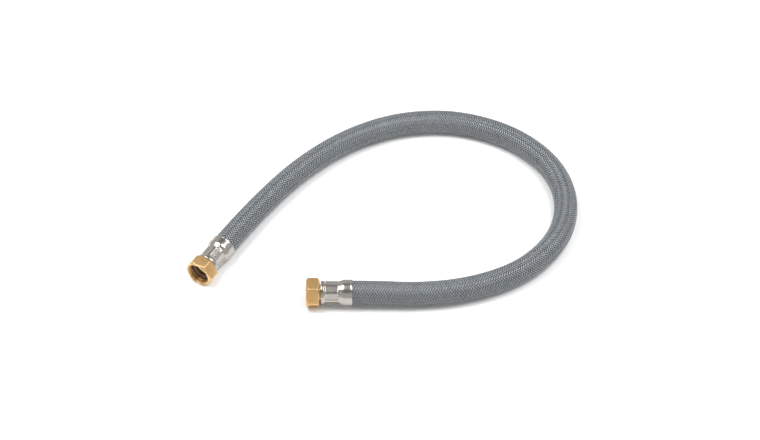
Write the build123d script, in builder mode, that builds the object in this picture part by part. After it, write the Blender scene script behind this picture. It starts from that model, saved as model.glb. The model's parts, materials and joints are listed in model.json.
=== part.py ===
from build123d import *
import math
import os

# Braided connector for a sink or an appliance: a rubber tube in a braided sleeve, with the same
# swivel fitting crimped on each end. Millimetres, +Z up. The line lies on the plane Z = 0, the
# origin is in the middle between the two fittings, and the outlet fitting points along -X.

os.makedirs("parts", exist_ok=True)

# ---- Hose ----
hose_diameter = 14.2
braid_thickness = 0.8
liner_bore = 8.4

# ---- Swivel nut, 9/16-24 thread for 3/8 in compression valves ----
nut_across_flats = 15.875
nut_face_diameter = 15.0
nut_chamfer_angle = 35
thread_minor_diameter = 13.14
thread_mouth_diameter = 14.4
thread_depth = 4.0
relief_diameter = 14.5
shoulder_thickness = 1.2

# ---- Washer ----
washer_diameter = 13.8
washer_bore = 8.2
washer_thickness = 1.25

# ---- Barbed stem ----
flange_diameter = 12.6
flange_thickness = 0.9
neck_diameter = 9.6
waterway_diameter = 6.6
waterway_chamfer = 0.4
barb_count = 3
barb_height = 0.3
stem_tail_length = 5.0

# ---- Crimped ferrule ----
ferrule_wall = 0.6
rim_length = 1.8
rim_diameter = 14.2
rim_round = 0.6
rim_slope = 0.5
waist_diameter = 13.4
waist_length = 8.2
flare_length = 2.4
collar_length = 5.4
bead_length = 1.0
bead_height = 0.12
crimped_braid_thickness = 0.6
panel_count = 8
panel_width = 3.6
panel_end_margin = 0.3
panel_corner_radius = 0.7
panel_depth = 0.45

# ---- Fits and clearances ----
nut_end_play = 0.5
seat_clearance = 0.05
neck_clearance = 0.08
ferrule_clearance = 0.1
stem_clearance = 0.1

# ---- Radii that follow from the values above ----
hose_radius = hose_diameter / 2
liner_radius = hose_radius - braid_thickness
bore_radius = liner_bore / 2
neck_radius = neck_diameter / 2
collar_radius = hose_radius + ferrule_wall
bead_radius = collar_radius + bead_height
waist_radius = waist_diameter / 2
crimped_hose_radius = waist_radius - ferrule_wall
crimped_liner_radius = crimped_hose_radius - crimped_braid_thickness
corner_radius = nut_across_flats / 2 / math.cos(math.pi / 6)

# ---- Stations along a fitting, as distances behind the open face of its nut ----
washer_front = thread_depth + seat_clearance
washer_back = washer_front + washer_thickness
flange_front = washer_back + nut_end_play + seat_clearance
flange_back = flange_front + flange_thickness
shoulder_front = flange_back + seat_clearance
nut_length = shoulder_front + shoulder_thickness
ferrule_front = nut_length + nut_end_play + ferrule_clearance
hose_end = ferrule_front + ferrule_wall
waist_start = ferrule_front + rim_length + rim_slope
waist_end = waist_start + waist_length
full_size = waist_end + flare_length
ferrule_back = full_size + collar_length
stem_end = waist_end + stem_tail_length

# ---- Route of the hose's centreline ----
# The nuts lie on a flat, so the fittings' axes are half of the flats' distance above the surface,
# and the hose between them comes down onto it. The points are chosen by hand.
axis_height = max(nut_across_flats / 2, bead_radius)
lying_height = hose_radius
route = [
    (-30.2, 16.3, axis_height),
    (-19.3, 34.3, axis_height),
    (-5.9, 56.0, lying_height),
    (13.3, 81.8, lying_height),
    (35.9, 103.4, lying_height),
    (58.4, 117.5, lying_height),
    (82.8, 125.8, lying_height),
    (112.2, 126.6, lying_height),
    (141.2, 115.9, lying_height),
    (161.1, 99.1, lying_height),
    (172.7, 80.0, lying_height),
    (177.4, 57.8, lying_height),
    (173.5, 33.9, lying_height),
    (161.6, 14.1, lying_height),
    (142.6, -2.3, lying_height),
    (115.2, -13.1, lying_height),
    (87.0, -16.6, lying_height),
    (61.7, -15.9, axis_height),
    (43.4, -15.9, axis_height),
]
arc_share = 0.45


def bend_radius(before, corner, after):
    """The largest arc that a corner's two straight runs leave room for."""
    run_in = Vector(*corner) - Vector(*before)
    run_out = Vector(*after) - Vector(*corner)
    half_turn = math.radians(run_in.get_angle(run_out)) / 2
    return arc_share * min(run_in.length, run_out.length) / math.tan(half_turn)


bend_radii = [bend_radius(*route[i - 1 : i + 2]) for i in range(1, len(route) - 1)]
print("bend radii:", [round(radius, 1) for radius in bend_radii])


# ---- Places of the two fittings ----
def face_plane(tip, next_point):
    """Plane of a nut's open face: Z points out of the fitting along its axis, X is level."""
    outward = (Vector(*tip) - Vector(*next_point)).normalized()
    level = Vector(-outward.Y, outward.X, 0)
    return Plane(origin=Vector(*tip) + outward * full_size, x_dir=level, z_dir=outward)


def profile_plane(face):
    """Plane through a fitting's axis: X runs out along the axis, Y is the distance from it."""
    return Plane(origin=face.origin, x_dir=face.z_dir, z_dir=face.x_dir)


def axis_of(face):
    return Axis(face.origin, face.z_dir)


fittings = {
    "inlet": face_plane(route[0], route[1]),
    "outlet": face_plane(route[-1], route[-2]),
}


# ---- Nut: a hexagon rounded off at both faces, with a threaded bore, a relief and a shoulder ----
def make_nut(label, face):
    chamfer_length = (corner_radius - nut_face_diameter / 2) * math.tan(math.radians(nut_chamfer_angle))
    mouth_depth = (thread_mouth_diameter - thread_minor_diameter) / 2
    with BuildPart() as nut:
        with BuildSketch(face.offset(-nut_length)):
            RegularPolygon(nut_across_flats / 2, 6, major_radius=False)
        extrude(amount=nut_length)
        with BuildSketch(profile_plane(face)):
            with BuildLine():
                Polyline(
                    (0, 0),
                    (0, nut_face_diameter / 2),
                    (-chamfer_length, corner_radius),
                    (chamfer_length - nut_length, corner_radius),
                    (-nut_length, nut_face_diameter / 2),
                    (-nut_length, 0),
                    close=True,
                )
            make_face()
        revolve(axis=axis_of(face), mode=Mode.INTERSECT)
        with BuildSketch(profile_plane(face)):
            with BuildLine():
                Polyline(
                    (0, 0),
                    (0, thread_mouth_diameter / 2),
                    (-mouth_depth, thread_minor_diameter / 2),
                    (-thread_depth, thread_minor_diameter / 2),
                    (-thread_depth, relief_diameter / 2),
                    (-shoulder_front, relief_diameter / 2),
                    (-shoulder_front, neck_radius + neck_clearance),
                    (-nut_length, neck_radius + neck_clearance),
                    (-nut_length, 0),
                    close=True,
                )
            make_face()
        revolve(axis=axis_of(face), mode=Mode.SUBTRACT)
    nut.part.label = label
    export_step(nut.part, "parts/" + label + ".step")


# ---- Washer: a flat rubber ring, loose in the nut's relief ----
def make_washer(label, face):
    with BuildPart() as washer:
        with BuildSketch(face.offset(-washer_back)):
            Circle(washer_diameter / 2)
            Circle(washer_bore / 2, mode=Mode.SUBTRACT)
        extrude(amount=washer_thickness)
    washer.part.label = label
    export_step(washer.part, "parts/" + label + ".step")


# ---- Stem: flange, neck and barbed tail in one turned piece, with the waterway through it ----
def make_insert(label, face):
    root_radius = bore_radius
    tail_radius = bore_radius - stem_clearance
    barb_pitch = (waist_end - hose_end) / barb_count
    barb_starts = [hose_end + barb_pitch * (i + 0.5) for i in range(barb_count)]
    barbs = []
    for start in barb_starts:
        barbs.append((-start, root_radius))
        barbs.append((-start, root_radius + barb_height))
        barbs.append((-start - barb_pitch / 2, root_radius))
    with BuildPart() as insert:
        with BuildSketch(profile_plane(face)):
            with BuildLine():
                Polyline(
                    (-flange_front, waterway_diameter / 2 + waterway_chamfer),
                    (-flange_front, flange_diameter / 2),
                    (-flange_back, flange_diameter / 2),
                    (-flange_back, neck_radius),
                    (-hose_end, neck_radius),
                    (-hose_end, root_radius),
                    *barbs,
                    (-waist_end, tail_radius),
                    (-stem_end, tail_radius),
                    (-stem_end, waterway_diameter / 2),
                    (-flange_front - waterway_chamfer, waterway_diameter / 2),
                    close=True,
                )
            make_face()
        revolve(axis=axis_of(face))
    insert.part.label = label
    export_step(insert.part, "parts/" + label + ".step")


# ---- Ferrule: a thin sleeve, rolled in at the rim, pressed in at the waist, open at the collar ----
def make_ferrule(label, face):
    rim_radius = rim_diameter / 2
    panel_length = waist_length - 2 * panel_end_margin
    panel_centre = face.origin - face.z_dir * (waist_start + waist_length / 2)
    panel_floor = waist_radius - panel_depth
    with BuildPart() as ferrule:
        with BuildSketch(profile_plane(face)):
            with BuildLine():
                Polyline(
                    (-ferrule_front, neck_radius),
                    (-ferrule_front, rim_radius - rim_round),
                    (-ferrule_front - rim_round, rim_radius),
                    (-ferrule_front - rim_length, rim_radius),
                    (-waist_start, waist_radius),
                    (-waist_end, waist_radius),
                    (-full_size, collar_radius),
                    (-ferrule_back + bead_length, collar_radius),
                    (-ferrule_back + bead_length / 2, bead_radius),
                    (-ferrule_back, collar_radius),
                    (-ferrule_back, hose_radius),
                    (-full_size, hose_radius),
                    (-waist_end, crimped_hose_radius),
                    (-hose_end, crimped_hose_radius),
                    (-hose_end, neck_radius),
                    close=True,
                )
            make_face()
        revolve(axis=axis_of(face))
        for i in range(panel_count):
            turn = (i + 0.5) * 360 / panel_count
            outward = face.x_dir.rotate(Axis((0, 0, 0), face.z_dir), turn)
            panel = Plane(origin=panel_centre, x_dir=face.z_dir, z_dir=outward)
            with BuildSketch(panel.offset(panel_floor - ferrule_wall)):
                RectangleRounded(panel_length, panel_width, panel_corner_radius)
            extrude(amount=ferrule_wall)
            with BuildSketch(panel.offset(panel_floor)):
                RectangleRounded(panel_length, panel_width, panel_corner_radius)
            extrude(amount=2 * panel_depth, mode=Mode.SUBTRACT)
    ferrule.part.label = label
    export_step(ferrule.part, "parts/" + label + ".step")


# ---- Hose layers: a tube along the route, drawn in to the crimped size inside each ferrule ----
def make_layer(label, inner, outer, crimped_inner, crimped_outer):
    with BuildPart() as layer:
        with BuildLine() as centreline:
            FilletPolyline(*route, radius=bend_radii)
        with BuildSketch(Plane(origin=centreline.line @ 0, z_dir=centreline.line % 0)):
            Circle(outer)
            Circle(inner, mode=Mode.SUBTRACT)
        sweep()
        for face in fittings.values():
            with BuildSketch(profile_plane(face)):
                with BuildLine():
                    Polyline(
                        (-hose_end, crimped_inner),
                        (-hose_end, crimped_outer),
                        (-waist_end, crimped_outer),
                        (-full_size, outer),
                        (-full_size, inner),
                        (-waist_end, crimped_inner),
                        close=True,
                    )
                make_face()
            revolve(axis=axis_of(face))
    layer.part.label = label
    export_step(layer.part, "parts/" + label + ".step")
    length = centreline.wires()[0].length
    section = math.pi * (outer**2 - inner**2)
    print(label, "route", round(length, 1), "section x route", round(length * section), "mm3")
    print(label, "whole volume with both drawn-in ends", round(layer.part.volume), "mm3")


make_layer("hose_liner", bore_radius, liner_radius, bore_radius, crimped_liner_radius)
make_layer("hose_braid", liner_radius, hose_radius, crimped_liner_radius, crimped_hose_radius)
for end, face in fittings.items():
    make_insert(end + "_insert", face)
    make_ferrule(end + "_ferrule", face)
    make_washer(end + "_washer", face)
    make_nut(end + "_nut", face)
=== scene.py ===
import json
import math

import bpy
import numpy as np
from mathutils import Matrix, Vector


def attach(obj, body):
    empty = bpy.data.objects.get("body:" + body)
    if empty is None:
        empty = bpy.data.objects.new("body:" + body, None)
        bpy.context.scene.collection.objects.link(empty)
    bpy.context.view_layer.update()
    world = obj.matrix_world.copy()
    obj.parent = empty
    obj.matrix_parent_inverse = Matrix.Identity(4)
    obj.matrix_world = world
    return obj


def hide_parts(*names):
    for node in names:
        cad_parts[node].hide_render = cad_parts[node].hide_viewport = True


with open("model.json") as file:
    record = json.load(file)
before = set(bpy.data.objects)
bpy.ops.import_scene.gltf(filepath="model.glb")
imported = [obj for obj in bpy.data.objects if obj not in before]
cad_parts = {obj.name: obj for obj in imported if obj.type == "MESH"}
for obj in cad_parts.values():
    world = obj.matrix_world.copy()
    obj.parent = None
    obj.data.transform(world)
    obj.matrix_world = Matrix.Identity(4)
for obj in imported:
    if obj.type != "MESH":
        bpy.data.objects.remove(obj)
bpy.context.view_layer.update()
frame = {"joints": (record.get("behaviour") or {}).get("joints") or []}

scene = bpy.context.scene
mm = 0.001
fullTurn = 2 * math.pi

# the line is seen whole from the front and above, through a long lens
view = {
    "target": (0.0647, 0.0488, 0.0),
    "elevation": 47.0,  # degrees above the floor
    "distance": 1.2344,
    "lens": 97.18,
    "sensor": 36.0,
}
# two soft boxes, high at the sides: azimuth (0 is the camera's side, 90 the +X side), elevation, distance,
# width, height, watts
lamps = {
    "leftLamp": (262, 64, 0.90, 0.50, 0.50, 6.2),
    "rightLamp": (82, 64, 0.90, 0.50, 0.50, 5.6),
}
floor = {
    "radius": 6.0,
    "sides": 96,
    "color": (0.93, 0.93, 0.93, 1),
    "roughness": 0.9,
    "shine": 0.1,
}
# the room is pale all round under a dim ceiling, which begins between two heights of a unit direction
sky = {"pale": 0.76, "dim": 0.22, "edge": (0.62, 0.78)}


def placeAround(azimuth, elevation, distance):
    # a place at a distance from the target: round by the azimuth, then up by the elevation
    turn, up = math.radians(azimuth), math.radians(elevation)
    away = Vector((math.cos(up) * math.sin(turn), -math.cos(up) * math.cos(turn), math.sin(up)))
    return Vector(view["target"]) + away * distance


def addAimed(data, place):
    # a camera or a lamp whose own -Z axis points from its place to the target
    item = bpy.data.objects.new(data.name, data)
    scene.collection.objects.link(item)
    item.location = place
    item.rotation_euler = (Vector(view["target"]) - place).to_track_quat("-Z", "Y").to_euler()
    return item


def addCamera():
    data = bpy.data.cameras.new("camera")
    data.lens = view["lens"]
    data.sensor_width = view["sensor"]
    data.clip_start = 0.05
    data.clip_end = 50
    scene.camera = addAimed(data, placeAround(0, view["elevation"], view["distance"]))


def addLamps():
    for name, (azimuth, elevation, distance, width, height, watts) in lamps.items():
        data = bpy.data.lights.new(name, "AREA")
        data.shape = "RECTANGLE"
        data.size = width
        data.size_y = height
        data.energy = watts
        addAimed(data, placeAround(azimuth, elevation, distance))


def addNode(tree, kind, inputs=(), settings=()):
    # one node, with its settings and with its sockets set to values or linked to other sockets
    node = tree.nodes.new("ShaderNode" + kind)
    for name, value in dict(settings).items():
        setattr(node, name, value)
    for name, value in dict(inputs).items():
        if isinstance(value, bpy.types.NodeSocket):
            tree.links.new(value, node.inputs[name])
        else:
            node.inputs[name].default_value = value
    return node


def addWorld():
    # a smooth step in the direction's height, from the walls' gray to the ceiling's
    world = bpy.data.worlds.new("studio")
    scene.world = world
    world.use_nodes = True
    tree = world.node_tree
    place = addNode(tree, "TexCoord")
    parts = addNode(tree, "SeparateXYZ", {"Vector": place.outputs["Generated"]})
    gray = addNode(tree, "MapRange", {
        "Value": parts.outputs["Z"], "From Min": sky["edge"][0], "From Max": sky["edge"][1],
        "To Min": sky["pale"], "To Max": sky["dim"],
    }, {"interpolation_type": "SMOOTHSTEP"})
    tree.links.new(gray.outputs["Result"], tree.nodes["Background"].inputs["Color"])


def addFloor():
    # a wide disc of pale paper
    turn = np.linspace(0, fullTurn, floor["sides"], endpoint=False)
    rim = np.stack([np.cos(turn), np.sin(turn), 0 * turn], 1) * floor["radius"]
    mesh = bpy.data.meshes.new("floor")
    mesh.from_pydata(rim.tolist(), [], [list(range(floor["sides"]))])
    item = bpy.data.objects.new("floor", mesh)
    scene.collection.objects.link(item)
    paper = bpy.data.materials.new("palePaper")
    paper.use_nodes = True
    shader = paper.node_tree.nodes["Principled BSDF"]
    shader.inputs["Base Color"].default_value = floor["color"]
    shader.inputs["Roughness"].default_value = floor["roughness"]
    shader.inputs["Specular IOR Level"].default_value = floor["shine"]
    mesh.materials.append(paper)


scene.view_settings.view_transform = "Standard"
addCamera()
addLamps()
addWorld()
addFloor()
print("camera, lamps and floor are in place")


# the map for baking, on which nothing overlaps: strips side by side, with a ring for each end above them.
# The sizes are shares of a strip's width, of a row's length and of the map's height
bakeMap = {"side": 0.04, "rowEnd": 0.3, "stripHeight": 0.98, "ringHeight": 0.99, "ring": (0.4, 0.006)}


def layStrips(patch, row, column, rows, columns, folds):
    # each patch's rows are cut into folds, one to a strip: u goes across the strip and v along it
    perFold = math.ceil((rows - 1) / folds)
    fold = row[:, :1] // perFold
    across = bakeMap["side"] + (1 - 2 * bakeMap["side"]) * column / columns
    along = (row - fold * perFold + bakeMap["rowEnd"]) / (perFold + 2 * bakeMap["rowEnd"])
    u = (patch * folds + fold + across) / (len(patch) * folds)
    return np.stack([u, np.broadcast_to(bakeMap["stripHeight"] * along, u.shape)], -1)


def layCap(patch, fold, around, columns, folds):
    # an end cap's corners, evenly round an ellipse over the middle of their strip
    turn = fullTurn * around / columns
    wide, high = bakeMap["ring"]
    u = (patch * folds + fold + 0.5 + wide * np.cos(turn)) / (len(patch) * folds)
    return np.stack([u, np.broadcast_to(bakeMap["ringHeight"] + high * np.sin(turn), u.shape)], -1)


# a surface from whole arrays. The grid is (patches, rows, columns, 3), and each face joins four
# neighbours in it, turned outward by the sign of the volume inside. u and v are the map's values at the
# columns and rows, one more than there are of each, so that a closed surface's map closes too
def makeSurface(name, grid, closedRows, closedColumns, u, v, capped=False, edge=None, folds=0):
    patches, rows, columns, _ = grid.shape
    faceRow = np.arange(rows if closedRows else rows - 1)[:, None, None]
    faceColumn = np.arange(columns if closedColumns else columns - 1)[None, :, None]
    across = faceRow.shape[0], faceColumn.shape[1], 4
    row = np.broadcast_to(faceRow + np.array([0, 1, 1, 0]), across).reshape(-1, 4)
    column = np.broadcast_to(faceColumn + np.array([0, 0, 1, 1]), across).reshape(-1, 4)
    patch = np.arange(patches)[:, None, None]
    faces = patch * rows * columns + (row % rows) * columns + column % columns
    points = grid.reshape(-1, 3)
    ring = points[faces.reshape(-1, 4)]
    turned = np.cross(ring[:, 1], ring[:, 2]) + np.cross(ring[:, 2], ring[:, 3])
    flip = -1 if np.einsum("ij,ij->", ring[:, 0], turned) < 0 else 1
    corners = faces[..., ::flip].ravel()
    sizes = np.full(faces.size // 4, 4)
    maps = {"surface": np.stack([u[patch, column], np.broadcast_to(v[row], (patches, *row.shape))], -1)}
    if folds:
        maps["OFBake"] = layStrips(patch, row, column, rows, columns, folds)
    maps = {key: places[..., ::flip, :].reshape(-1, 2) for key, places in maps.items()}
    if capped:
        for end, fold, order in ((0, 0, -flip), (rows - 1, folds - 1, flip)):
            around = np.arange(columns)[None, ::order]
            cap = patch[..., 0] * rows * columns + end * columns + around
            ends = {"surface": np.stack([u[patch[..., 0], around], np.full(cap.shape, v[end])], -1)}
            if folds:
                ends["OFBake"] = layCap(patch[..., 0], fold, around, columns, folds)
            maps = {key: np.concatenate([maps[key], ends[key].reshape(-1, 2)]) for key in maps}
            corners = np.concatenate([corners, cap.ravel()])
            sizes = np.concatenate([sizes, np.full(patches, columns)])
    mesh = bpy.data.meshes.new(name)
    mesh.vertices.add(len(points))
    mesh.vertices.foreach_set("co", np.ascontiguousarray(points, np.float32).ravel())
    mesh.loops.add(len(corners))
    mesh.loops.foreach_set("vertex_index", corners.astype(np.int32))
    mesh.polygons.add(len(sizes))
    mesh.polygons.foreach_set("loop_start", (np.cumsum(sizes) - sizes).astype(np.int32))
    mesh.polygons.foreach_set("use_smooth", np.ones(len(sizes), bool))
    mesh.update(calc_edges=True)
    for key, places in maps.items():
        mesh.uv_layers.new(name=key).uv.foreach_set("vector", places.astype(np.float32).ravel())
    if edge is not None:  # a number from 0 to 1 for each vertex: how near an edge it is, for the metals' rubbed edges, and on the braid how high the ribbon is, for the yarn's painted shade
        near = mesh.attributes.new("edge", "FLOAT", "POINT")
        near.data.foreach_set("value", edge.astype(np.float32).ravel())
    item = bpy.data.objects.new(name, mesh)
    scene.collection.objects.link(item)
    return item


# the hose's route, the same points as in the CAD source
hose = {
    "axisHeight": 7.9375,  # of the fittings, whose nuts lie on a flat
    "lyingHeight": 7.1,
    "leaving": [(-30.2, 16.3), (-19.3, 34.3)],
    "lying": [
        (-5.9, 56.0), (13.3, 81.8), (35.9, 103.4), (58.4, 117.5), (82.8, 125.8),
        (112.2, 126.6), (141.2, 115.9), (161.1, 99.1), (172.7, 80.0), (177.4, 57.8),
        (173.5, 33.9), (161.6, 14.1), (142.6, -2.3), (115.2, -13.1), (87.0, -16.6),
    ],
    "returning": [(61.7, -15.9), (43.4, -15.9)],
    "diameter": 14.2 * mm,
    "length": 0.489,  # as cut, with both crimped ends
    "crimped": 9.9 * mm,  # how much of each end is drawn in, inside the ferrule
    "drawing": 2.4 * mm,  # over which it comes back to its full size
    "drawnBy": 1.0 * mm,
    "collar": 5.4 * mm,  # the length that each ferrule's collar covers past that
    "step": 0.4 * mm,  # between the places that are worked out along it
}


def routePoints():
    high = [(x, y, hose["axisHeight"]) for x, y in hose["leaving"]]
    low = [(x, y, hose["lyingHeight"]) for x, y in hose["lying"]]
    back = [(x, y, hose["axisHeight"]) for x, y in hose["returning"]]
    return np.array(high + low + back) * mm


def readSpline(points):
    # the points along the smooth NURBS line through the route, close together
    curve = bpy.data.curves.new("routeLine", "CURVE")
    curve.dimensions = "3D"
    spline = curve.splines.new("NURBS")
    spline.points.add(len(points) - 1)
    spline.points.foreach_set("co", np.append(points, np.ones((len(points), 1)), 1).ravel())
    spline.order_u = 3
    spline.use_endpoint_u = True
    spline.resolution_u = 32
    holder = bpy.data.objects.new("routeLine", curve)
    mesh = bpy.data.meshes.new_from_object(holder)
    line = np.empty(len(mesh.vertices) * 3, np.float32)
    mesh.vertices.foreach_get("co", line)
    bpy.data.objects.remove(holder)
    return line.reshape(-1, 3).astype(float)


# the route by distance along it, with a crimped end added straight on at each end: at each distance
# there are the centre and two directions square to the line, one level and one upward
def followRoute(points):
    ends = hose["crimped"] + hose["drawing"]
    first, last = points[0] - points[1], points[-1] - points[-2]
    points = np.concatenate([
        [points[0] + first / np.linalg.norm(first) * ends], points,
        [points[-1] + last / np.linalg.norm(last) * ends],
    ])
    steps = np.linalg.norm(np.diff(points, axis=0), axis=1)
    along = np.append(0, np.cumsum(steps))
    distance = np.linspace(0, along[-1], int(along[-1] / hose["step"]))
    centre = np.stack([np.interp(distance, along, points[:, i]) for i in range(3)], 1)
    ahead = np.gradient(centre, distance, axis=0)
    level = np.cross(ahead, (0, 0, 1))
    level /= np.linalg.norm(level, axis=1, keepdims=True)
    upward = np.cross(level, ahead)
    return {"distance": distance, "centre": centre, "level": level, "upward": upward, "length": along[-1]}


def pickAlong(values, distance):
    return np.stack([np.interp(distance, way["distance"], values[:, i]) for i in range(3)], -1)


def pointAround(distance, turn, radius):
    # the centre, plus the radius times the level direction turned towards the upward one
    out = np.cos(turn)[..., None] * pickAlong(way["level"], distance)
    out = out + np.sin(turn)[..., None] * pickAlong(way["upward"], distance)
    return pickAlong(way["centre"], distance) + radius[..., None] * out


def drawnIn(distance):
    # how much smaller the radius is: all of it on a crimped end, none of it past the ferrule's shoulder
    inside = np.minimum(distance, way["length"] - distance)
    share = np.clip((inside - hose["crimped"]) / hose["drawing"], 0, 1)
    return hose["drawnBy"] * (1 - share * share * (3 - 2 * share))


routeLine = readSpline(routePoints())
way = followRoute(routeLine)
print("the route is followed, with its ends, for", round(way["length"], 4), "m")


liner = {
    "radius": 6.28 * mm,
    "bore": 4.2 * mm,
    "sides": 64,
    "step": 1.2 * mm,
    "mapLength": 100,
}


def makeLiner():
    # two circles of different radius carried along the route, joined at its ends
    count = int(way["length"] / liner["step"])
    distance = np.linspace(0, way["length"], count)[:, None]
    turn = np.linspace(0, fullTurn, liner["sides"], endpoint=False)[None, :]
    outside = liner["radius"] - drawnIn(distance) + 0 * turn
    inside = liner["bore"] + 0 * outside
    outer = pointAround(distance + 0 * turn, turn + 0 * distance, outside)
    inner = pointAround(distance + 0 * turn, turn + 0 * distance, inside)[::-1]
    grid = np.concatenate([outer, inner])[None]
    u = np.linspace(0, 1, liner["sides"] + 1)[None]
    v = np.linspace(0, liner["mapLength"], 2 * count + 1)
    return makeSurface("hoseLiner", grid, True, True, u, v)


hoseLiner = makeLiner()
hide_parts("hose_liner")
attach(hoseLiner, "root")


braid = {
    "ribbons": 20,  # each way round
    "perPiece": 5,
    "lead": 31.5 * mm,  # length of one full turn of a ribbon: it lies 54.7 degrees from the hose's line
    "radius": 6.55 * mm,
    "lift": 0.20 * mm,  # how far a ribbon rises over and dips under
    "flatness": 2.2,  # of the tops and bottoms of that wave
    "halfWidth": 0.50 * mm,
    "thickness": 0.29 * mm,
    "yarns": 3,
    "yarnRise": 0.06 * mm,
    "lensShare": 0.95,  # of a half ellipse, so that the section keeps some thickness at its sides
    "underWidth": 0.6,
    "underDepth": 0.4,
    "stepsPerCrossing": 3,
    "folds": 8,  # of each ribbon, in the map for baking
}


def ribbonSection():
    # a flat lens with one low ridge for each yarn on its top, as (across, height)
    across = np.linspace(1, -1, 2 * braid["yarns"] + 1)
    height = braid["thickness"] * np.sqrt(1 - (braid["lensShare"] * across) ** 2)
    height[1::2] += braid["yarnRise"]
    under = braid["underWidth"] * np.array([-1, 1])
    return np.append(across, under), np.append(height, [-braid["underDepth"] * braid["thickness"]] * 2)


# each ribbon is its section carried along a helix on the hose. Its height is the cosine of a quarter turn
# for each ribbon of the other hand that it has met, so it goes over two and under two, and the places
# where it is on top line up along the hose
def makeRibbons(name, hand, first):
    across, height = ribbonSection()
    total = braid["ribbons"]
    crossings = 2 * total * way["length"] / braid["lead"]
    steps = int(crossings * braid["stepsPerCrossing"])
    margin = braid["halfWidth"]
    along = np.linspace(margin, way["length"] - margin, steps)
    index = first + np.arange(braid["perPiece"])
    a, s, i = across[None, None, :], along[None, :, None], index[:, None, None]
    twist = hand * fullTurn / braid["lead"]
    slope = math.atan(abs(twist) * braid["radius"])
    distance = s - hand * math.sin(slope) * a * braid["halfWidth"]
    turn = fullTurn * i / total + twist * s + math.cos(slope) * a * braid["halfWidth"] / braid["radius"]
    met = total / fullTurn * (turn + twist * distance)
    wave = hand * np.cos(math.pi / 2 * (met + i) - math.pi / 4)
    wave = np.tanh(braid["flatness"] * wave) / math.tanh(braid["flatness"])
    radius = braid["radius"] - drawnIn(distance) + braid["lift"] * wave + height
    distance, turn, radius = np.broadcast_arrays(distance, turn, radius)
    share = (across + 1) / 2
    u = np.append(share, share[0])[None, :] + 2 * index[:, None]
    v = np.append(along, along[-1]) / mm
    # the ribbon's height, from 0 under to 1 over, which the yarn's painted shade reads
    high = np.broadcast_to(0.5 + 0.5 * wave, radius.shape)
    return makeSurface(name, pointAround(distance, turn, radius), False, True, u, v, capped=True, edge=high,
                       folds=braid["folds"])


braidPieces = []
for hand, side in ((1, "Right"), (-1, "Left")):
    for group in range(braid["ribbons"] // braid["perPiece"]):
        piece = makeRibbons("braid" + side + str(group + 1), hand, group * braid["perPiece"])
        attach(piece, "root")
        braidPieces.append(piece)
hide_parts("hose_braid")
print("the hose has", sum(len(piece.data.polygons) for piece in braidPieces), "faces in its braid")


# where each fitting is: the middle of its nut's open face, its axis out of the hose, and two
# directions square to that. The spin joint sits on the axis, at the end of the nut's thread
fittings = {}
for joint in frame["joints"]:
    if joint["name"].endswith("_nut_spin"):
        out = Vector(joint["axis"])
        level = Vector((-out.y, out.x, 0))
        fittings[joint["name"].split("_")[0]] = {
            "face": np.array(Vector(joint["pos_m"]) + out * 4.0 * mm),
            "out": np.array(out),
            "level": np.array(level),
            "upward": np.array(out.cross(level)),
        }


def placeOnAxis(fitting, station, radius, turn):
    # station and radius in millimetres: behind the open face, and away from the axis
    side = np.cos(turn)[..., None] * fitting["level"] + np.sin(turn)[..., None] * fitting["upward"]
    return fitting["face"] - station[..., None] * mm * fitting["out"] + radius[..., None] * mm * side


# an outline's corners, rounded: each becomes a short parabola between points at the given distance on
# its two sides. Corners are (corner, column, 2), and the rows come back with how near an edge each is
def roundCorners(corners, rounding, steps):
    rounding = np.broadcast_to(np.asarray(rounding, float)[:, None, None], (len(corners), 1, 1))
    def towards(other):
        side = other - corners
        length = np.linalg.norm(side, axis=-1, keepdims=True)
        return corners + side * np.minimum(rounding / length, 0.48)
    start, end = towards(np.roll(corners, 1, 0)), towards(np.roll(corners, -1, 0))
    t = np.linspace(0, 1, steps)[None, :, None, None]
    rows = (1 - t) ** 2 * start[:, None] + 2 * t * (1 - t) * corners[:, None] + t ** 2 * end[:, None]
    near = np.broadcast_to(4 * t * (1 - t), rows[..., :1].shape)
    return rows.reshape(-1, *corners.shape[1:]), near.reshape(-1, corners.shape[1])


def rowLengths(rows):
    # the distance along a closed outline to each row, with the way back to the first
    middle = rows.mean(1)
    steps = np.linalg.norm(np.roll(middle, -1, 0) - middle, axis=1)
    return np.append(0, np.cumsum(steps))


def turnedPiece(name, fitting, rows, turn, edge):
    grid = placeOnAxis(fitting, rows[..., 0], rows[..., 1], turn[None, :] + 0 * rows[..., 0])
    u = np.append(turn, turn[0] + fullTurn)[None] / fullTurn
    return makeSurface(name, grid[None], True, True, u, rowLengths(rows), edge=edge)


nut = {
    "flats": 15.875,
    "faceDiameter": 15.0,
    "chamferAngle": 35,
    "mouth": 14.4,
    "minor": 13.14,
    "major": 14.28,
    "pitch": 25.4 / 24,
    "threadStart": 0.13,
    "threadDepth": 4.0,
    "relief": 14.5,
    "reliefSlope": 1.4,
    "shoulderFront": 6.8,
    "length": 8.0,
    "hole": 9.76,
    "cornerSharpness": 42,  # the power that rounds the hexagon's six corners a little
    "columnsPerFlat": 40,
    "evenShare": 0.15,  # of their spacing; the rest of it draws them towards the corners
    "rowsPerPitch": 16,
    "threadSharpness": 2.2,
    "rounding": [0.12, 0.16, 0.20, 0.20, 0.16, 0.12, 0.08, 0.08, 0, 0],
    "cornerSteps": 6,
}


def hexagonRadius(turn):
    # half the flats' distance over the greatest cosine to a flat's middle, where the greatest is softened
    # into the sum of high powers
    flats = math.radians(30) + np.arange(6) * math.radians(60)
    reach = np.maximum(np.cos(turn[:, None] - flats[None, :]), 0) ** nut["cornerSharpness"]
    return nut["flats"] / 2 / reach.sum(1) ** (1 / nut["cornerSharpness"])


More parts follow.
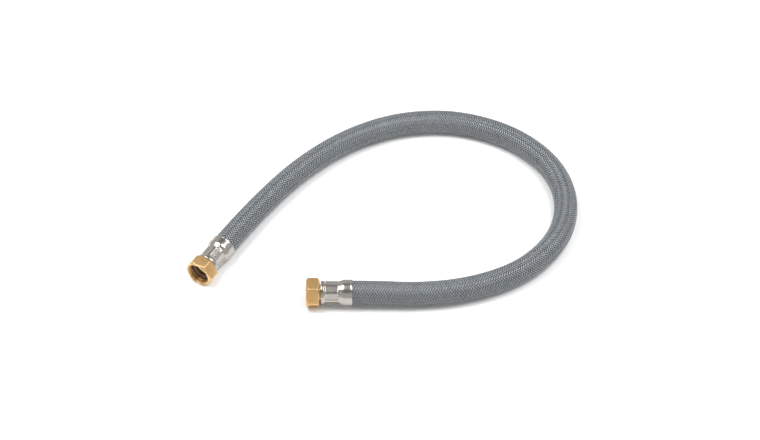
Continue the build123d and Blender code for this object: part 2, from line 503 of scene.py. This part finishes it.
def nutTurns():
    # angles round the nut: an even step mixed with a sine's, which is closer near the hexagon's corners
    t = np.linspace(-1, 1, nut["columnsPerFlat"], endpoint=False)
    local = nut["evenShare"] * t + (1 - nut["evenShare"]) * np.sin(t * math.pi / 2)
    flats = math.radians(30) + np.arange(6) * math.radians(60)
    return (flats[:, None] + local[None, :] * math.radians(30)).ravel()


def threadRadius(station, turn):
    # the largest of a helical wave between the minor and the major radius, the cone at the mouth and
    # the cone into the relief
    phase = station / nut["pitch"] + turn / fullTurn
    wave = np.tanh(nut["threadSharpness"] * np.cos(fullTurn * phase)) / math.tanh(nut["threadSharpness"])
    helix = nut["minor"] / 2 + (nut["major"] - nut["minor"]) / 4 * (1 + wave)
    mouth = nut["mouth"] / 2 - station
    relief = nut["relief"] / 2 - (nut["threadDepth"] - station) * nut["reliefSlope"]
    return np.maximum(np.maximum(helix, mouth), relief)


def makeNut(end):
    # the outline round the hexagon's own radius at each angle, with the chamfer's depth that much over
    # the face circle times its tangent, and then the thread's rows
    turn = nutTurns()
    hexagon = hexagonRadius(turn)
    face = nut["faceDiameter"] / 2
    chamfer = (hexagon - face) * math.tan(math.radians(nut["chamferAngle"]))
    count = int(nut["threadDepth"] / nut["pitch"] * nut["rowsPerPitch"])
    station = np.linspace(nut["threadDepth"], nut["threadStart"], count)[:, None]
    thread = np.stack(np.broadcast_arrays(station, threadRadius(station, turn[None, :])), -1)
    level = np.ones_like(turn)
    outline = [
        (0 * level, nut["mouth"] / 2 * level),
        (0 * level, face * level),
        (chamfer, hexagon),
        (nut["length"] - chamfer, hexagon),
        (nut["length"] * level, face * level),
        (nut["length"] * level, nut["hole"] / 2 * level),
        (nut["shoulderFront"] * level, nut["hole"] / 2 * level),
        (nut["shoulderFront"] * level, nut["relief"] / 2 * level),
    ]
    corners = np.concatenate([np.stack([np.stack(pair, -1) for pair in outline]), thread[:1], thread[-1:]])
    rows, edge = roundCorners(corners, nut["rounding"], nut["cornerSteps"])
    kept = (len(corners) - 2) * nut["cornerSteps"]
    rows = np.concatenate([rows[:kept], thread])
    edge = np.concatenate([edge[:kept], np.zeros(thread.shape[:2])])
    return turnedPiece(end + "Nut", fittings[end], rows, turn, edge)


ferrule = {
    "front": 8.6,
    "hoseEnd": 9.2,
    "neck": 9.7,  # the rim is rolled in to this diameter
    "rim": 14.2,
    "rimEnd": 10.4,
    "waistStart": 10.9,
    "waistEnd": 19.1,
    "waist": 13.4,
    "shoulder": 21.5,
    "collar": 15.4,
    "back": 26.9,
    "bead": 15.64,
    "beadLength": 1.0,
    "wall": 0.58,
    "panels": 8,
    "panelLength": 7.6,
    "panelWidth": 3.6,
    "panelCorner": 0.7,
    "panelFloor": 6.25,  # distance of the pressed flats from the axis
    "panelSlope": 0.5,
    "rounding": [0.1, 0.6, 0.25, 0.25, 0.9, 0.9, 0.2, 0.2, 0.12, 0.1, 0.3, 0.3, 0.1, 0.1],
    "cornerSteps": 9,
    "innerCorner": 9,  # the first corner that is inside: the outside ends halfway round it
    "columns": 320,
    "rowStep": 0.14,
}


def resample(outline, step):
    # the same open outline with its points evenly spaced
    lengths = np.append(0, np.cumsum(np.linalg.norm(np.diff(outline, axis=0), axis=1)))
    at = np.linspace(0, lengths[-1], int(lengths[-1] / step))
    return np.stack([np.interp(at, lengths, outline[:, i]) for i in range(2)], 1)


def pressPanels(station, radius, turn):
    # inside each rounded rectangle the surface goes down to a flat: the radius is the flat's distance
    # over the cosine of the angle from its middle
    pitch = fullTurn / ferrule["panels"]
    local = (turn / pitch) % 1 * pitch - pitch / 2
    x = np.abs(station - (ferrule["waistStart"] + ferrule["waistEnd"]) / 2)
    y = np.abs(local) * ferrule["waist"] / 2
    corner = ferrule["panelCorner"]
    dx = x - ferrule["panelLength"] / 2 + corner
    dy = y - ferrule["panelWidth"] / 2 + corner
    outside = np.hypot(np.maximum(dx, 0), np.maximum(dy, 0)) + np.minimum(np.maximum(dx, dy), 0) - corner
    share = np.clip(0.5 - outside / ferrule["panelSlope"], 0, 1)
    share = share * share * (3 - 2 * share)
    pressed = np.minimum(ferrule["panelFloor"] / np.cos(local), radius)
    return radius + (pressed - radius) * share


def makeFerrule(end):
    # one closed outline, whose outside has evenly spaced rows so that the panels can be pressed into it
    f = ferrule
    outline = np.array([
        (f["front"], f["neck"] / 2), (f["front"], f["rim"] / 2), (f["rimEnd"], f["rim"] / 2),
        (f["waistStart"], f["waist"] / 2), (f["waistEnd"], f["waist"] / 2),
        (f["shoulder"], f["collar"] / 2), (f["back"] - f["beadLength"], f["collar"] / 2),
        (f["back"] - f["beadLength"] / 2, f["bead"] / 2), (f["back"], f["collar"] / 2),
        (f["back"], f["collar"] / 2 - f["wall"]),
        (f["shoulder"], f["collar"] / 2 - f["wall"]), (f["waistEnd"], f["waist"] / 2 - f["wall"]),
        (f["hoseEnd"], f["waist"] / 2 - f["wall"]), (f["hoseEnd"], f["neck"] / 2),
    ])
    steps = f["cornerSteps"]
    rows, _ = roundCorners(outline[:, None], f["rounding"], steps)
    start, stop = steps // 2, f["innerCorner"] * steps + steps // 2 + 1
    outer = resample(rows[start:stop, 0], f["rowStep"])
    profile = np.concatenate([outer, rows[stop:, 0], rows[:start, 0]])
    turn = np.linspace(0, fullTurn, f["columns"], endpoint=False)
    station = profile[:, :1] + 0 * turn
    radius = profile[:, 1:] + 0 * turn
    onOutside = (np.arange(len(profile)) < len(outer))[:, None]
    radius = np.where(onOutside, pressPanels(station, radius, turn[None, :]), radius)
    return turnedPiece(end + "Ferrule", fittings[end], np.stack([station, radius], -1), turn, 0 * radius)


stem = {
    "front": 5.85,
    "flangeBack": 6.75,
    "flange": 12.6,
    "neck": 9.6,
    "hoseEnd": 9.2,
    "root": 8.4,
    "barbs": 3,
    "barbHeight": 0.3,
    "waistEnd": 19.1,
    "tail": 8.2,
    "back": 24.1,
    "waterway": 6.6,
    "chamfer": 0.4,
    "rounding": 0.06,
    "cornerSteps": 4,
    "columns": 96,
}


def turnOutline(name, end, outline, sizes):
    # an outline of one radius at each station, rounded at its corners and turned about the axis
    turn = np.linspace(0, fullTurn, sizes["columns"], endpoint=False)
    rounding = [sizes["rounding"]] * len(outline)
    rows, edge = roundCorners(outline[:, None] + 0 * turn[None, :, None], rounding, sizes["cornerSteps"])
    return turnedPiece(end + name, fittings[end], rows, turn, edge)


def makeStem(end):
    # the flange, the neck that the nut turns on, and as many saw teeth as there are barbs, evenly spaced
    s = stem
    pitch = (s["waistEnd"] - s["hoseEnd"]) / s["barbs"]
    starts = s["hoseEnd"] + pitch * (np.arange(s["barbs"]) + 0.5)
    barbs = []
    for start in starts:
        barbs.append((start, s["root"] / 2))
        barbs.append((start, s["root"] / 2 + s["barbHeight"]))
        barbs.append((start + pitch / 2, s["root"] / 2))
    outline = np.array([
        (s["front"], s["waterway"] / 2 + s["chamfer"]), (s["front"], s["flange"] / 2),
        (s["flangeBack"], s["flange"] / 2), (s["flangeBack"], s["neck"] / 2),
        (s["hoseEnd"], s["neck"] / 2), (s["hoseEnd"], s["root"] / 2), *barbs,
        (s["waistEnd"], s["tail"] / 2), (s["back"], s["tail"] / 2), (s["back"], s["waterway"] / 2),
        (s["front"] + s["chamfer"], s["waterway"] / 2),
    ])
    return turnOutline("Stem", end, outline, s)


washer = {
    "front": 4.05,
    "back": 5.30,
    "outer": 13.8,
    "bore": 8.2,
    "rounding": 0.12,
    "cornerSteps": 6,
    "columns": 96,
}


def makeWasher(end):
    # a flat ring
    w = washer
    outline = np.array([
        (w["front"], w["bore"] / 2), (w["front"], w["outer"] / 2),
        (w["back"], w["outer"] / 2), (w["back"], w["bore"] / 2),
    ])
    return turnOutline("Washer", end, outline, w)


pieces = {}
for end in fittings:
    for kind, make, node, slot, body in (
        ("nut", makeNut, "_nut", "nut", "_nut"),
        ("ferrule", makeFerrule, "_ferrule", "ferrule", None),
        ("stem", makeStem, "_insert", "stem", None),
        ("washer", makeWasher, "_washer", "washer", "_washer"),
    ):
        piece = make(end)
        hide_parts(end + node)
        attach(piece, end + body if body else "root")
        pieces.setdefault(kind, []).append(piece)
print("the fittings are made:", ", ".join(pieces))


def newMaterial(name):
    material = bpy.data.materials.new(name)
    material.use_nodes = True
    return material, material.node_tree, material.node_tree.nodes["Principled BSDF"]


def surfaceMap(tree, u, v):
    # the piece's own map, stretched by u and v
    read = addNode(tree, "UVMap", settings={"uv_map": "surface"})
    stretched = addNode(tree, "Mapping", {"Vector": read.outputs["UV"], "Scale": (u, v, 1)})
    return stretched.outputs["Vector"]


def mixColor(tree, share, first, second):
    mix = addNode(tree, "Mix", settings={"data_type": "RGBA"})
    tree.links.new(share, mix.inputs[0])
    for socket, value in ((6, first), (7, second)):
        if isinstance(value, bpy.types.NodeSocket):
            tree.links.new(value, mix.inputs[socket])
        else:
            mix.inputs[socket].default_value = value
    return mix.outputs[2]


def rescale(tree, value, low, high, fromLow=0.0, fromHigh=1.0):
    # a straight line from one range to another, held at its ends
    return addNode(tree, "MapRange", {
        "Value": value, "From Min": fromLow, "From Max": fromHigh, "To Min": low, "To Max": high,
    }).outputs["Result"]


def calculate(tree, operation, *values):
    # one step of arithmetic on sockets or numbers
    return addNode(tree, "Math", dict(enumerate(values)), {"operation": operation}).outputs["Value"]


def addBumps(tree, shader, height, strength, depth):
    bump = addNode(tree, "Bump", {"Height": height, "Strength": strength, "Distance": depth * mm})
    tree.links.new(bump.outputs["Normal"], shader.inputs["Normal"])


metals = {
    "satinBrass": {
        "color": (0.67, 0.425, 0.19, 1),
        "stain": (0.53, 0.32, 0.138, 1),
        "edgeColor": (0.93, 0.70, 0.42, 1),
        "roughness": (0.28, 0.42),
        "grainMap": (260, 0.6),
        "grainDepth": 0.008,
    },
    "turnedBrass": {
        "color": (0.80, 0.55, 0.25, 1),
        "stain": (0.55, 0.34, 0.15, 1),
        "edgeColor": (0.95, 0.72, 0.42, 1),
        "roughness": (0.25, 0.38),
        "grainMap": (3, 9),
        "grainDepth": 0.008,
    },
    "pressedStainless": {
        "color": (0.42, 0.398, 0.368, 1),
        "stain": (0.37, 0.35, 0.32, 1),
        "edgeColor": (0.80, 0.78, 0.75, 1),
        "roughness": (0.18, 0.27),
        "grainMap": (4, 6),
        "grainDepth": 0.001,
    },
}
# of all three: soft clouds of stain, a fine grain, and rubbed edges
wear = {
    "cloudScale": 260,
    "cloudRange": (0.4, 0.75),
    "stainShare": 0.55,
    "edgeShare": 0.8,
    "grainRange": (0.3, 0.7),
    "grainStrength": 0.6,
}


def makeMetal(name):
    # the color goes towards the stain with the clouds, and from there to the edges' color with the
    # attribute; the grain, drawn out along the tool marks, sets the roughness and the bumps
    m = metals[name]
    material, tree, shader = newMaterial(name)
    place = addNode(tree, "TexCoord").outputs["Object"]
    cloud = addNode(tree, "TexNoise", {"Vector": place, "Scale": wear["cloudScale"], "Detail": 4,
                                       "Roughness": 0.6})
    grain = addNode(tree, "TexNoise", {"Vector": surfaceMap(tree, *m["grainMap"]), "Scale": 1, "Detail": 6,
                                       "Roughness": 0.65})
    edge = addNode(tree, "Attribute", settings={"attribute_name": "edge"}).outputs["Fac"]
    stainShare = rescale(tree, cloud.outputs["Fac"], 0, wear["stainShare"], *wear["cloudRange"])
    stained = mixColor(tree, stainShare, m["color"], m["stain"])
    worn = mixColor(tree, rescale(tree, edge, 0, wear["edgeShare"]), stained, m["edgeColor"])
    tree.links.new(worn, shader.inputs["Base Color"])
    roughness = rescale(tree, grain.outputs["Fac"], *m["roughness"], *wear["grainRange"])
    tree.links.new(roughness, shader.inputs["Roughness"])
    shader.inputs["Metallic"].default_value = 1.0
    addBumps(tree, shader, grain.outputs["Fac"], wear["grainStrength"], m["grainDepth"])
    return material


yarn = {
    "light": (0.25, 0.28, 0.302, 1),
    "dark": (0.12, 0.135, 0.148, 1),
    "toneShare": 0.2,  # of a ribbon's own tone, beside its fibres
    "toneRange": (0.7, 1.5),
    "dipped": 0.08,  # painted shade: how dark a ribbon is painted where it goes under another
    "dipRange": (0.25, 0.9),
    "side": 0.14,  # and the painted shade along its two sides, in the crevices between ribbons
    "sideRange": (0.2, 0.46),  # from its middle, in widths
    "roughness": (0.20, 0.34),
    "fibres": (34, 0.35),  # across a ribbon, and to each millimetre of the hose
    "fibreRange": (0.3, 0.7),
    "fibreStrength": 0.8,
    "fibreDepth": 0.02,
    "patches": (0.6, 0.08),
    "sheen": 0.1,
    "shine": 1.0,
}


# grey-blue filament yarn: fine fibres run along each ribbon, and each ribbon has its own tone. Shade is
# painted into the colour, darker where a ribbon dips under another and along its sides. The map's u is
# twice the ribbon's number plus the share of its width, so its fraction tells how near a side is
def makeYarn():
    y = yarn
    material, tree, shader = newMaterial("filamentYarn")
    fibre = addNode(tree, "TexNoise", {"Vector": surfaceMap(tree, *y["fibres"]), "Scale": 1, "Detail": 3,
                                       "Roughness": 0.6}).outputs["Fac"]
    read = addNode(tree, "UVMap", settings={"uv_map": "surface"})
    across = addNode(tree, "SeparateXYZ", {"Vector": read.outputs["UV"]}).outputs["X"]
    number = calculate(tree, "SNAP", across, 2.0)
    tone = addNode(tree, "TexWhiteNoise", {"W": number}, {"noise_dimensions": "1D"}).outputs["Value"]
    patch = addNode(tree, "TexNoise", {"Vector": surfaceMap(tree, *y["patches"]), "Scale": 1, "Detail": 2})
    blend = calculate(tree, "MULTIPLY_ADD", tone, y["toneShare"], fibre)
    blend = calculate(tree, "ADD", blend, patch.outputs["Fac"])
    color = mixColor(tree, rescale(tree, blend, 0, 1, *y["toneRange"]), y["dark"], y["light"])
    height = addNode(tree, "Attribute", settings={"attribute_name": "edge"}).outputs["Fac"]
    # painted shade: the yarn's colour is darkened where the ribbon dips under another
    dipShade = rescale(tree, height, y["dipped"], 1, *y["dipRange"])
    # painted shade: the colour is also darkened towards the ribbon's sides, as if in the crevices between
    # ribbons
    fromMiddle = calculate(tree, "ADD", calculate(tree, "FRACT", across), -0.5)
    fromMiddle = calculate(tree, "ABSOLUTE", fromMiddle)
    sideShade = rescale(tree, fromMiddle, 1, y["side"], *y["sideRange"])
    shade = calculate(tree, "MULTIPLY", dipShade, sideShade)
    shaded = addNode(tree, "VectorMath", {0: color, "Scale": shade}, {"operation": "SCALE"})
    tree.links.new(shaded.outputs["Vector"], shader.inputs["Base Color"])
    roughness = rescale(tree, fibre, *y["roughness"], *y["fibreRange"])
    tree.links.new(roughness, shader.inputs["Roughness"])
    shader.inputs["Sheen Weight"].default_value = y["sheen"]
    shader.inputs["Specular IOR Level"].default_value = y["shine"]
    addBumps(tree, shader, fibre, y["fibreStrength"], y["fibreDepth"])
    return material


rubbers = {
    "linerRubber": {"color": (0.035, 0.036, 0.038, 1), "dust": (0.07, 0.07, 0.072, 1)},
    "washerRubber": {"color": (0.16, 0.09, 0.06, 1), "dust": (0.22, 0.135, 0.095, 1)},
}
bloom = {
    "scale": 400,
    "dustRange": (0.45, 0.75),
    "roughness": (0.5, 0.75),
    "strength": 0.5,
    "depth": 0.02,
}


def makeRubber(name):
    # a dull rubber that goes towards the dust's color, and is rougher, where a fine noise is high
    material, tree, shader = newMaterial(name)
    place = addNode(tree, "TexCoord").outputs["Object"]
    cloud = addNode(tree, "TexNoise", {"Vector": place, "Scale": bloom["scale"], "Detail": 5,
                                       "Roughness": 0.6}).outputs["Fac"]
    dusty = rescale(tree, cloud, 0, 1, *bloom["dustRange"])
    color = mixColor(tree, dusty, rubbers[name]["color"], rubbers[name]["dust"])
    tree.links.new(color, shader.inputs["Base Color"])
    tree.links.new(rescale(tree, cloud, *bloom["roughness"]), shader.inputs["Roughness"])
    addBumps(tree, shader, cloud, bloom["strength"], bloom["depth"])
    return material


def finishPieces():
    for items, material in (
        (pieces["nut"], makeMetal("satinBrass")),
        (pieces["stem"], makeMetal("turnedBrass")),
        (pieces["ferrule"], makeMetal("pressedStainless")),
        (pieces["washer"], makeRubber("washerRubber")),
        ([hoseLiner], makeRubber("linerRubber")),
        (braidPieces, makeYarn()),
    ):
        for item in items:
            item.data.materials.append(material)


finishPieces()
print("every piece has its material")
